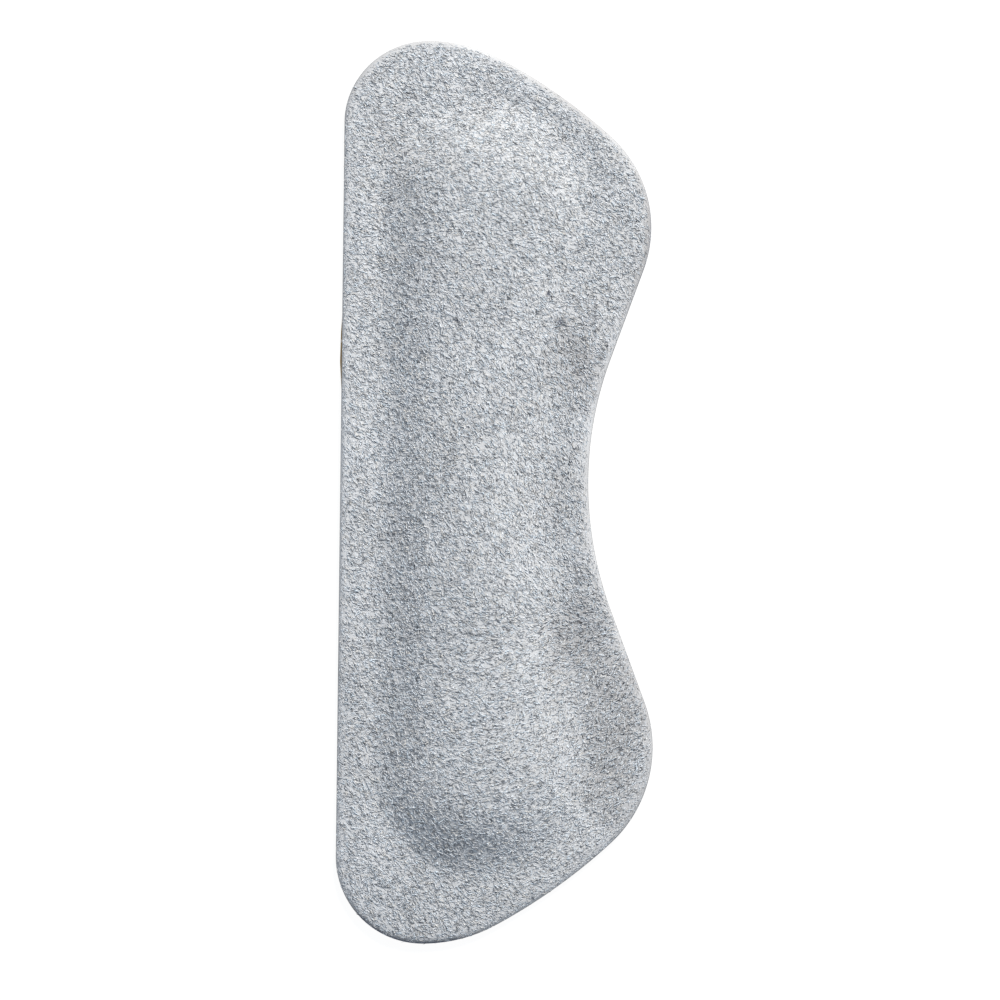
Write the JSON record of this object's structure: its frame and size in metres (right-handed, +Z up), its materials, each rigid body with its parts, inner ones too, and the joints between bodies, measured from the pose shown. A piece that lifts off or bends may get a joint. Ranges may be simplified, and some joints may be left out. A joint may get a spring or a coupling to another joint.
{
  "type": "heel protector",
  "caption": "Long suede pad with one straight edge, two rounded lobes and a waist, raised over a foam core, with a paper-faced adhesive back that sticks inside a shoe's heel.",
  "frame": {"origin": "middle of the underside, at the centre of the pad's box, on the surface that the pad lies on", "axes": "+Z up out of the suede face, +Y along the pad's length, +X from the straight edge towards the lobes"},
  "size_m": [0.0344, 0.1, 0.0037],
  "materials": {
    "suede": "napped grey suede, matt",
    "foam": "open-cell latex foam, matt",
    "release_paper": "honey-brown coated paper, satin"
  },
  "bodies": {
    "root": {"suede_cover": "suede", "foam_pad": "foam", "adhesive_backing": "release_paper"}
  },
  "joints": []
}
